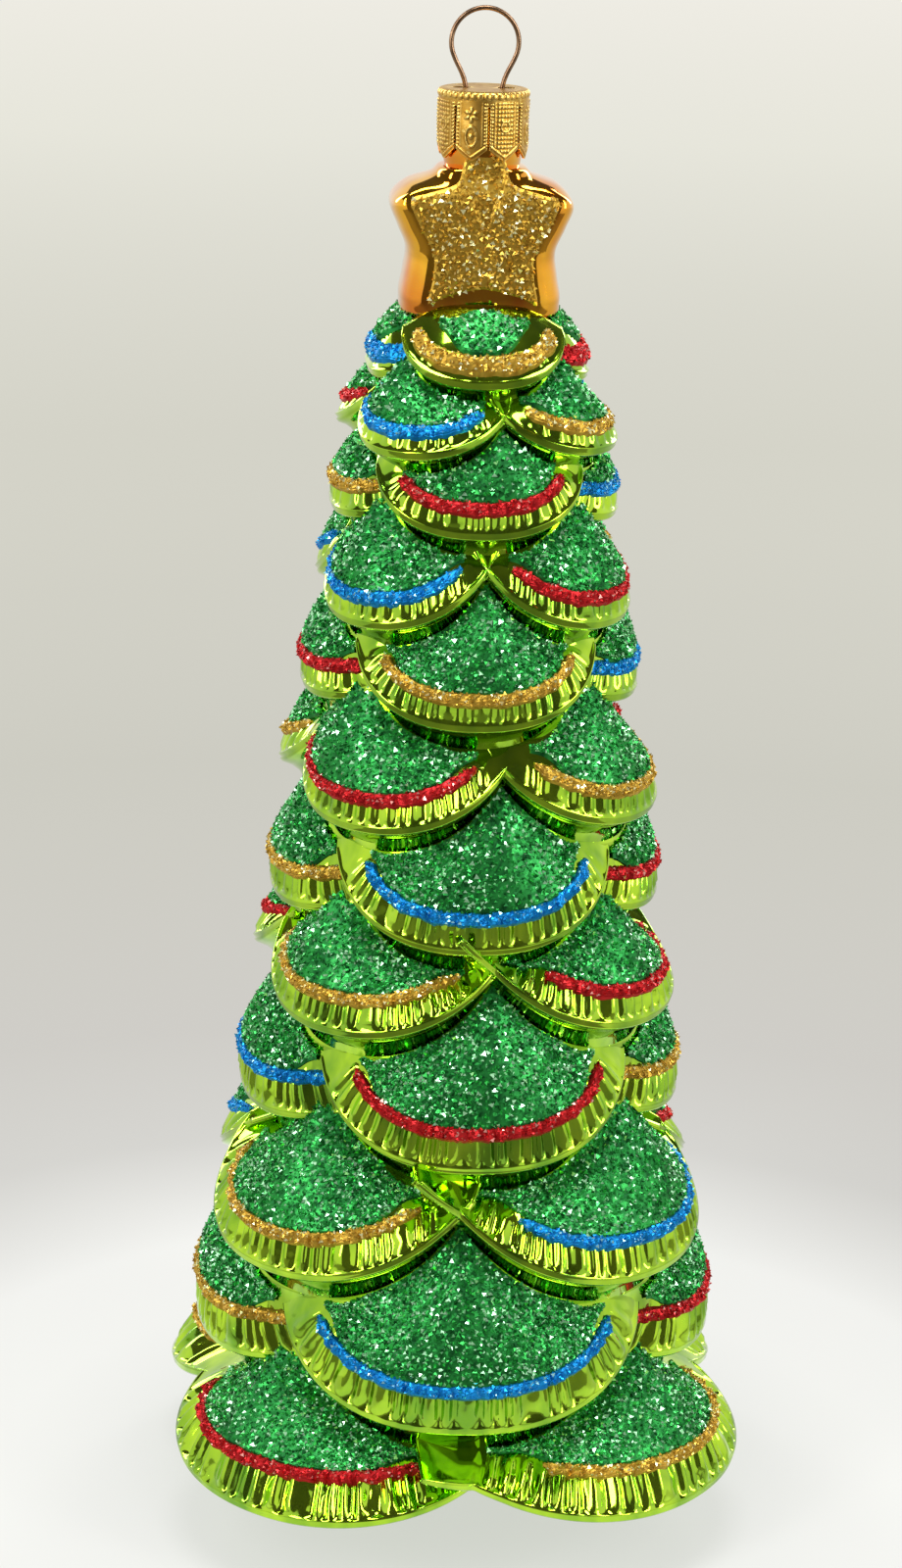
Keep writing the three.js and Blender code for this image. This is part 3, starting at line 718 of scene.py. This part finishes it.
def make_field(branch):
    rng = random.Random(f"field {branch.name}")
    end = field_end(branch)
    width = math.radians(2 * branch.extent * end) * REACH[branch.ring] * 0.9
    low, high = field_limits(branch, 0, branch.column(0))
    columns, rows = round(width / FIELD_SPACING), round((high - low) / FIELD_SPACING)

    def on_bed(across, down):
        bump = 0.07 * wobble(across * width / 0.5, down * (high - low) / 0.5, branch.ring)
        return field_spot(branch, end * (2 * across - 1), down, FIELD_LIFT + bump)

    across_count, down_count = round(width / CHIP_SPACING), round((high - low) / CHIP_SPACING)
    spots = []
    for i in range(across_count):
        for j in range(down_count):
            across = end * (2 * (i + rng.random()) / across_count - 1)
            down = (j + rng.random()) / down_count
            spots.append(field_spot(branch, across, down, FIELD_LIFT + rng.uniform(-0.05, 0.12)))
    bm, layer = chips(spots, CHIP, rng)
    add_bed(bm, layer, columns, rows, on_bed, FIELD_LIFT + FIELD_SUNK, rng)
    return piece(f"field_{branch.name}", bm, "glass", [f"glitter_{branch.name}"],
                 GLITTERS["green"], sharp=True)


def make_stripe(branch, colour):
    rng = random.Random(f"stripe {branch.name}")
    ends = stripe_ends(branch)
    length = math.radians(branch.offset(ends[1]) - branch.offset(ends[0])) * REACH[branch.ring]
    width = STRIPE_WIDTH * (1.45 if branch.ring == 0 else 1.0)

    def on_stripe(across, share, extra=0.0):
        """share runs from 0 at the upper edge of the line to 1 at its lower edge."""
        end = 1 - smooth(abs(across), 0.93, 1.0)
        along = across * length / 2
        wander = 0.16 * wobble(along / 2.2, branch.ring, branch.index)
        ragged = 0.22 * wobble(along / 1.7, 9.0, branch.ring) + 0.16 * wobble(along / 0.45, share * 3, branch.ring)
        half = width / 2 * (0.9 + ragged) * lerp(0.4, 1, end)
        place = lerp(*ends, (across + 1) / 2)
        column = branch.column(place)
        middle = min(branch.band * lerp(0.86, 1, place ** 2) + 0.5, 0.72 * column[2]) + wander
        side = 1 - 2 * share
        lift = STRIPE_LIFT * max(0, 1 - side ** 4) ** 0.5 * lerp(0.5, 1, end) + 0.05
        lift *= 1 + 0.22 * wobble(along / 0.5, side * 2.5, branch.index)
        return branch.surface(place, middle + half * side, lift + extra, column)

    spots = [on_stripe(rng.uniform(-1, 1), rng.uniform(0.05, 0.95), rng.uniform(-0.1, 0.06))
             for _ in range(round(length * width / AREA_PER_STRIPE_CHIP))]
    bm, layer = chips(spots, STRIPE_CHIP, rng)
    add_bed(bm, layer, round(length / STRIPE_SPACING), 6, lambda a, d: on_stripe(2 * a - 1, d), 0.3, rng)
    return piece(f"stripe_{branch.name}", bm, "glass", [f"glitter_{branch.name}"],
                 GLITTERS[colour], sharp=True)


chip_faces = 0
for ring in RINGS:
    for branch in branches[ring]:
        side = branch.name.split("_", 2)[2]
        chip_faces += len(make_field(branch).data.polygons)
        chip_faces += len(make_stripe(branch, STRIPES[side][ring // 2]).data.polygons)
print("faces of the glitter on the branches:", chip_faces)

# %% The glitter on the star's two faces
STAR_BED, STAR_BED_COLUMNS = 0.45, 96
BED_RINGS = [(0, 1), (0.5, 1), (0.8, 1), (0.95, 0.9), (1.0, 0.55), (1.0, 0), (0, 0)]
star_field = closed_curve(STAR_FIELD, STAR_BED_COLUMNS)


def in_star_field(across, up):
    """Counts how often a line to the right crosses the outline."""
    inside = False
    for a, b in zip(star_field, star_field[1:] + star_field[:1]):
        if (a.y > up) != (b.y > up) and across < a.x + (up - a.y) * (b.x - a.x) / (b.y - a.y):
            inside = not inside
    return inside


def star_bed_point(facing, across, down):
    """Rings from the middle out to the edge, and back to the middle under the glitter."""
    column = round(-facing * across * STAR_BED_COLUMNS) % STAR_BED_COLUMNS
    size, stand = BED_RINGS[round(down * (len(BED_RINGS) - 1))]
    at = star_field[column] * size
    depth = star_half_depth(at.y) + STAR_BED * stand - 0.05
    return Vector((at.x, facing * depth, STAR_CENTRE + at.y))


for name, facing in (("front", -1), ("back", 1)):
    rng = random.Random(f"star {name}")
    spots = []
    for i in range(-24, 24):
        for j in range(-20, 22):
            across, up = (i + rng.random()) * CHIP_SPACING, (j + rng.random()) * CHIP_SPACING
            if in_star_field(across, up):
                depth = star_half_depth(up) + STAR_BED + rng.uniform(-0.05, 0.12)
                spots.append(Vector((across, facing * depth, STAR_CENTRE + up)))
    bm, layer = chips(spots, CHIP, rng)
    verts = add_grid(bm, STAR_BED_COLUMNS, len(BED_RINGS) - 1, lambda a, d, f=facing: star_bed_point(f, a, d))
    # The bed takes the dark end of the chip colours: painted shade under and between the chips.
    for vert in verts:
        vert[layer] = rng.uniform(0, 0.4)
    bmesh.ops.remove_doubles(bm, verts=verts, dist=1e-6)
    made = piece(f"star_field_{name}", bm, "glass", [f"star_glitter_{name}"],
                 GLITTERS["gold"], sharp=True)
    print(made.name, "faces:", len(made.data.polygons))

# %% [markdown]
# ## The cap
# The cap is pressed from thin brass-coloured sheet: a disc with a beaded rim, and a skirt that is slit into
# eight pointed tabs. The press leaves a raised pattern on each tab: a row of beads down both edges, a line
# inside it, and a flower or rows of dots over an oval in the middle. Each tab is a fine grid whose points the pattern
# pushes out, so the relief is real and catches the light.

# %% The cap's numbers
CAP_RADIUS, CAP_HEIGHT, CAP_SHEET = 5.5, 8.2, 0.3
CAP_TABS, CAP_TURN, CAP_BAND, TAB_POINT = 8, -20, 1.7, 1.5
CAP_SHOULDER, TAB_CURL, SLIT_HALF = 0.5, 0.12, 0.15
TAB_HALF_WIDTH = math.pi * CAP_RADIUS / CAP_TABS
TAB_TIP_HALF = 0.18
TAB_COLUMNS, TAB_ROWS = 36, 76
BEAD = 0.42


def bump(x, y, radius):
    """A round dome of height 1 at the origin."""
    return max(0.0, 1 - (x * x + y * y) / radius ** 2) ** 0.5


def ring_line(x, y, radius, width):
    """A raised ring of height 1."""
    return max(0.0, 1 - ((math.hypot(x, y) - radius) / width) ** 2) ** 0.5


def tab_relief(tab, x, down):
    """The pressed pattern: x across from the middle of the tab, down from the top of the skirt, in mm."""
    reach = TAB_HALF_WIDTH - SLIT_HALF - 0.22
    point = CAP_HEIGHT - TAB_POINT - 0.45 + TAB_POINT * (1 - abs(x) / TAB_HALF_WIDTH)
    found = 0.0
    if 1.2 < down < point:
        step = (down / BEAD) % 1 - 0.5
        found = max(found, bump((abs(x) - reach) / 0.17, step * BEAD / 0.17, 1.0))
    found = max(found, 0.7 * ring_line(0, down - point, 0, 0.14))
    if 1.2 < down < point - 0.3:
        found = max(found, 0.6 * max(0.0, 1 - ((abs(x) - reach + 0.38) / 0.09) ** 2))
    inner = reach - 0.5
    if abs(x) < inner and 1.3 < down < point - 0.25:
        if tab % 2 == 0:
            oval = ring_line(1.75 * x, down - 5.3, 1.15, 0.17)
            found = max(found, 0.9 * oval, 0.7 * bump(x, down - 5.3, 0.3))
            for petal in range(6):
                turn = math.radians(60 * petal + 30)
                u = x * math.cos(turn) + (down - 2.75) * math.sin(turn)
                v = (down - 2.75) * math.cos(turn) - x * math.sin(turn)
                found = max(found, 0.85 * bump((u - 0.55) / 2.0, v, 0.2))
        else:
            column, row = (x / 0.46 + 0.5) % 1 - 0.5, (down / 0.52) % 1 - 0.5
            found = max(found, 0.85 * bump(column * 0.46, row * 0.52, 0.17))
            found = max(found, 0.9 * ring_line(x, down - 4.1, 0.6, 0.13))
    return found


def tab_point(tab, across, down):
    """A point of a tab's outer face. Above the slit the tab is as wide as its share of the cap."""
    row = round(down * TAB_ROWS)
    middle = 2 * math.pi * tab / CAP_TABS + math.radians(CAP_TURN)
    side = 2 * across - 1
    band_rows = 14
    if row <= band_rows:
        drop = CAP_SHOULDER + (CAP_BAND - CAP_SHOULDER) * row / band_rows
        half = TAB_HALF_WIDTH
    else:
        full = lerp(CAP_HEIGHT, CAP_HEIGHT - TAB_POINT, max(0, abs(side) - TAB_TIP_HALF / 2) ** 1.05)
        drop = lerp(CAP_BAND, full, (row - band_rows) / (TAB_ROWS - band_rows))
        half = TAB_HALF_WIDTH - SLIT_HALF * smooth(row, band_rows, band_rows + 2)
    x = side * half
    curl = TAB_CURL * smooth(drop, CAP_HEIGHT - 2, CAP_HEIGHT)
    out = CAP_RADIUS - curl - 0.06 + 0.14 * tab_relief(tab, x, drop)
    out += 0.08 * wobble(tab * 3.1, drop / 3.0)
    angle = math.degrees(middle + x / CAP_RADIUS)
    return on_circle(angle, out, CAP_TOP - drop)


# %% The skirt, with the rim above it and the disc across the top
RIM_BEADS = 40
CAP_SLOT = (1.65, 3.75, 1.2)


def rim_point(across, down):
    """The beaded shoulder between the disc and the skirt."""
    angle = 360 * across
    bead = abs(math.cos(math.radians(angle) * RIM_BEADS / 2)) ** 0.7
    profile = [(4.2, -0.06), (4.7, 0.0), (5.05, -0.03), (5.3, -0.12), (5.46, -0.3), (5.53, -0.5),
               (5.54, -0.72), (5.47, -0.9), (5.44, -1.05), (5.22, -1.05), (5.2, -0.45), (4.2, -0.36), (4.2, -0.06)]
    place = down * (len(profile) - 1)
    k = min(int(place), len(profile) - 2)
    radius, height = (lerp(a, b, place - k) for a, b in zip(profile[k], profile[k + 1]))
    on_rim = smooth(place, 1.5, 4) * (1 - smooth(place, 6.5, 8))
    return on_circle(angle, radius + 0.12 * on_rim * (bead - 0.6), CAP_TOP + height)


bm = bmesh.new()
for tab in range(CAP_TABS):
    add_grid(bm, TAB_COLUMNS, TAB_ROWS, lambda across, down, t=tab: tab_point(t, across, down))
bmesh.ops.remove_doubles(bm, verts=bm.verts, dist=0.02 * MM)
bmesh.ops.solidify(bm, geom=bm.faces[:], thickness=CAP_SHEET * MM * 0.9)
skirt_faces = len(bm.faces)
add_grid(bm, RIM_BEADS * 8, 36, rim_point)
bmesh.ops.remove_doubles(bm, verts=bm.verts, dist=0.002 * MM)
print("cap skirt faces:", skirt_faces, "with the rim:", len(bm.faces))
cap_gold, tree, shader = new_material("antique_gold_cap")
coords = node(tree, "ShaderNodeTexCoord").outputs["Object"]
tarnish = node(tree, "ShaderNodeTexNoise", {"Vector": coords, "Scale": 700.0, "Detail": 4.0}).outputs["Fac"]
# Raised relief is lighter and hollows darker: partly brass rubbed bright and tarnish in the hollows, partly a painted
# highlight on the raised parts and painted shade in the hollows.
hollow = node(tree, "ShaderNodeNewGeometry").outputs["Pointiness"]
rubbed_and_highlit = node(tree, "ShaderNodeMapRange", {"Value": hollow, "From Min": 0.44, "From Max": 0.56}).outputs[0]
both = math_node(tree, "MULTIPLY_ADD", tarnish, 0.4, math_node(tree, "MULTIPLY", rubbed_and_highlit, 0.72))
colour = ramp(tree, both, [(0.2, rgb(102, 64, 18)), (0.5, rgb(190, 142, 54)), (0.8, rgb(240, 204, 112))])
rough = node(tree, "ShaderNodeMapRange", {"Value": both, "To Min": 0.5, "To Max": 0.26}).outputs[0]
grain = node(tree, "ShaderNodeTexNoise", {"Vector": coords, "Scale": 5200.0, "Detail": 2.0}).outputs["Fac"]
bump = node(tree, "ShaderNodeBump", {"Strength": 0.25, "Distance": 0.00006, "Height": grain}).outputs[0]
feed(shader, {"Base Color": colour, "Metallic": 1.0, "Roughness": rough, "Normal": bump})
made = piece("cap_skirt", bm, "cap", ["cap"], cap_gold)

# %% The disc, with two slots for the wire cut out of it
DISC_PROFILE = [(0.0, -0.04), (3.7, -0.04), (4.0, -0.0), (4.3, -0.04), (5.1, -0.1), (5.2, -0.4), (4.2, -0.34),
                (0.0, -0.32)]
bm = bmesh.new()
spun(bm, [(radius, CAP_TOP + height) for radius, height in DISC_PROFILE], 96)
bmesh.ops.remove_doubles(bm, verts=bm.verts, dist=1e-6)
bmesh.ops.recalc_face_normals(bm, faces=bm.faces)
disc = piece("cap_top", bm, "cap", ["cap"], cap_gold)
cutter_mesh = bpy.data.meshes.new("slots")
bm = bmesh.new()
near, far, wide = CAP_SLOT
for side in (-1, 1):
    bmesh.ops.create_cube(bm, size=1, matrix=Matrix.Translation(Vector((side * (near + far) / 2, 0, CAP_TOP)) * MM)
                          @ Matrix.Diagonal((*(Vector((far - near, wide, 3)) * MM), 1)))
upright = [e for e in bm.edges if abs(e.verts[0].co.z - e.verts[1].co.z) > MM]
bmesh.ops.bevel(bm, geom=upright, offset=0.5 * MM, affect="EDGES", segments=4, profile=0.5, material=-1)
bm.to_mesh(cutter_mesh)
bm.free()
cutter = bpy.data.objects.new("slots", cutter_mesh)
bpy.context.scene.collection.objects.link(cutter)
cut = disc.modifiers.new("slots", "BOOLEAN")
cut.object, cut.operation, cut.solver = cutter, "DIFFERENCE", "EXACT"
bpy.context.view_layer.update()
cut_mesh = bpy.data.meshes.new_from_object(disc.evaluated_get(bpy.context.evaluated_depsgraph_get()))
disc.modifiers.clear()
disc.data = cut_mesh
bpy.data.objects.remove(cutter)
print("cap top faces:", len(disc.data.polygons))

# %% [markdown]
# ## The hanger
# One piece of springy bronze wire: up from inside the neck, through one slot, round the loop at the top and
# down again through the other. The ends push outwards against the glass and hold the cap on. A curve with a
# round bevel is the natural way to make wire; it is turned into a mesh so that its place is in its vertices.

# %% The wire's path, the same as in the CAD part
WIRE, LOOP_RADIUS, LOOP_ABOVE_CAP = 0.6, 4.05, 5.35
LEG_HALF, LEG_SPREAD, LEG_LENGTH = 2.25, 3.15, 16.5
LOOP_CENTRE = CAP_TOP + LOOP_ABOVE_CAP
tangent = math.acos(LOOP_RADIUS / math.hypot(LEG_HALF, LOOP_ABOVE_CAP)) - math.atan2(LOOP_ABOVE_CAP, LEG_HALF)
bends = [(LEG_HALF + out * (LEG_SPREAD - LEG_HALF), CAP_TOP - down * LEG_LENGTH)
         for down, out in ((1, 0.35), (0.8, 1), (0.4, 0.6))]
leg = bends + [(LEG_HALF, CAP_TOP - 0.6), (LEG_HALF, CAP_TOP + 0.3)]
loop = []
for i in range(25):
    angle = tangent + (math.pi - 2 * tangent) * i / 24
    loop.append((LOOP_RADIUS * math.cos(angle), LOOP_CENTRE + LOOP_RADIUS * math.sin(angle)))
path = leg + loop + [(-x, z) for x, z in reversed(leg)]
curve = bpy.data.curves.new("wire", "CURVE")
curve.dimensions = "3D"
curve.bevel_depth, curve.bevel_resolution, curve.use_fill_caps = WIRE / 2 * MM, 4, True
spline = curve.splines.new("BEZIER")
spline.bezier_points.add(len(path) - 1)
for point, (x, z) in zip(spline.bezier_points, path):
    point.co = Vector((x, 0, z)) * MM
    point.handle_left_type = point.handle_right_type = "AUTO"
spline.resolution_u = 6
wire_curve = bpy.data.objects.new("wire", curve)
bpy.context.scene.collection.objects.link(wire_curve)
bpy.context.view_layer.update()
wire_mesh = bpy.data.meshes.new_from_object(wire_curve.evaluated_get(bpy.context.evaluated_depsgraph_get()))
bpy.data.objects.remove(wire_curve)
for polygon in wire_mesh.polygons:
    polygon.use_smooth = True

wire_bronze, tree, shader = new_material("bronze_wire")
coords = node(tree, "ShaderNodeTexCoord").outputs["Object"]
patina = node(tree, "ShaderNodeTexNoise", {"Vector": coords, "Scale": 450.0, "Detail": 3.0}).outputs["Fac"]
colour = ramp(tree, patina, [(0.3, rgb(104, 78, 58)), (0.7, rgb(176, 142, 112))])
grain = node(tree, "ShaderNodeTexNoise", {"Vector": coords, "Scale": 3000.0, "Detail": 2.0}).outputs["Fac"]
rough = node(tree, "ShaderNodeMapRange", {"Value": grain, "To Min": 0.2, "To Max": 0.42}).outputs[0]
bump = node(tree, "ShaderNodeBump", {"Strength": 0.15, "Distance": 0.00004, "Height": grain}).outputs[0]
feed(shader, {"Base Color": colour, "Metallic": 1.0, "Roughness": rough, "Normal": bump})
made = piece_from_mesh("hanger_wire", wire_mesh, "hanger", ["hanger"], wire_bronze)
print("wire faces:", len(made.data.polygons))

# %% [markdown]
# ## The studio
# The photograph could come from a small light tent: white walls and floor with lamps on top, and a dark
# opening where the camera looks in. A mirror shows its surroundings, so the surroundings make the glass look
# real: pale walls for the bright streaks, and dark openings for the deep olive between them.

# %% Floor, painted as the tent's floor and wall look from the camera, their light and shade included
FLOOR_BELOW = 8.0
PAINTED_SHARE = 0.75  # the rest of the floor's look is real light and shadow
floor_z = cad_box[0].z - FLOOR_BELOW * MM
bm = bmesh.new()
bmesh.ops.create_circle(bm, cap_ends=True, segments=96, radius=6.0, matrix=Matrix.Translation((0, 0, floor_z)))
mesh = bpy.data.meshes.new("floor")
bm.to_mesh(mesh)
bm.free()
floor = bpy.data.objects.new("floor", mesh)
bpy.context.scene.collection.objects.link(floor)
floor_paint, tree, shader = new_material("floor_paint")
coords = node(tree, "ShaderNodeTexCoord").outputs["Object"]
flat = node(tree, "ShaderNodeVectorMath", {0: coords, 1: (1, 1, 0)}, operation="MULTIPLY").outputs[0]
away = node(tree, "ShaderNodeVectorMath", {0: flat}, operation="LENGTH").outputs["Value"]
log_away = math_node(tree, "LOGARITHM", away, 10.0)
share = node(tree, "ShaderNodeMapRange", {"Value": log_away, "From Min": -1.4, "From Max": 0.45}).outputs[0]
# The ramp is painted light and shade: pale near the ornament, a grey band farther out that is the painted shade of
# the tent's wall, and pale again far off.
paint = ramp(tree, share, [(0.0, rgb(228, 228, 226)), (0.1, rgb(232, 232, 229)), (0.17, rgb(230, 230, 227)),
                           (0.26, rgb(200, 199, 195)), (0.34, rgb(194, 192, 187)), (0.5, rgb(194, 193, 184)),
                           (0.59, rgb(202, 201, 191)), (0.67, rgb(212, 211, 200)), (0.75, rgb(227, 226, 215)),
                           (0.84, rgb(242, 241, 230)), (1.0, rgb(255, 252, 244))])
feed(shader, {"Base Color": paint, "Roughness": 0.45, "Specular IOR Level": 0.0})
glow = node(tree, "ShaderNodeEmission", {"Color": paint, "Strength": 1.0}).outputs[0]
seen = math_node(tree, "MULTIPLY", seen_directly(tree), PAINTED_SHARE)
mixed = node(tree, "ShaderNodeMixShader", {0: seen, 1: shader.outputs[0], 2: glow}).outputs[0]
clear = node(tree, "ShaderNodeBsdfTransparent").outputs[0]
under = node(tree, "ShaderNodeNewGeometry").outputs["Backfacing"]
final = node(tree, "ShaderNodeMixShader", {0: under, 1: mixed, 2: clear}).outputs[0]
tree.links.new(final, tree.nodes["Material Output"].inputs["Surface"])
floor.data.materials.append(floor_paint)

# %% The room round it
world = bpy.data.worlds.new("room")
world.use_nodes = True
tree = world.node_tree
background = tree.nodes["Background"]
room = mix_colours(tree, seen_directly(tree), (0.55, 0.55, 0.55, 1), (*rgb(242, 239, 231), 1))
feed(background, {"Color": room})
bpy.context.scene.world = world


# %% Dark openings, which only mirrors see: painted dark reflections, which the camera, matt surfaces and shadows don't see
def card(name, turn, height, width, tall, distance, tilt=0):
    bm = bmesh.new()
    bmesh.ops.create_grid(bm, x_segments=1, y_segments=1, size=0.5)
    mesh = bpy.data.meshes.new(name)
    place = (Matrix.Rotation(math.radians(turn), 4, "Z") @ Matrix.Translation((0, -distance, height))
             @ Matrix.Rotation(math.radians(tilt - 90), 4, "X") @ Matrix.Diagonal((width, tall, 1, 1)))
    bm.transform(place)
    bm.to_mesh(mesh)
    bm.free()
    made = bpy.data.objects.new(name, mesh)
    bpy.context.scene.collection.objects.link(made)
    made.data.materials.append(painted_dark_reflection)
    made.visible_camera = made.visible_diffuse = made.visible_shadow = False


painted_dark_reflection, tree, shader = new_material("dark_opening")
feed(shader, {"Base Color": (0.12, 0.11, 0.09, 1), "Roughness": 0.9})
# Each card is a painted dark reflection: the room in front, a dark roof, and the table in front, which is pale but
# shows dark in the glass.
card("room_in_front", -4, 0.3, 0.9, 1.1, 1.0)
card("roof", 0, 0.85, 2.6, 2.6, 0.1, tilt=90)
card("table_in_front", -4, -0.188, 0.75, 1.1, 0.64, tilt=-90)


# %% Lamps
def lamp(name, turn, elevation, distance, size, power, colour=(1, 1, 1)):
    data = bpy.data.lights.new(name, "AREA")
    data.shape, data.size, data.size_y = "RECTANGLE", *size
    data.energy, data.color = power, colour
    made = bpy.data.objects.new(name, data)
    turn, elevation = math.radians(turn), math.radians(elevation)
    back = Vector((math.sin(turn) * math.cos(elevation), -math.cos(turn) * math.cos(elevation), math.sin(elevation)))
    centre = Vector((0, 0, -0.09))
    made.location = centre + back * distance
    made.rotation_euler = (-back).to_track_quat("-Z", "Y").to_euler()
    bpy.context.scene.collection.objects.link(made)


lamp("top", 0, 80, 0.62, (0.3, 0.2), 2.6)
lamp("front_left", -48, 30, 0.7, (0.16, 0.5), 2.4)
lamp("front_right", 52, 25, 0.7, (0.16, 0.5), 2.0)
lamp("back_left", -140, 30, 0.7, (0.16, 0.5), 1.6)
lamp("back_right", 140, 30, 0.7, (0.16, 0.5), 1.6)

# %% [markdown]
# ## Finish

# %% Finish
bpy.context.view_layer.update()
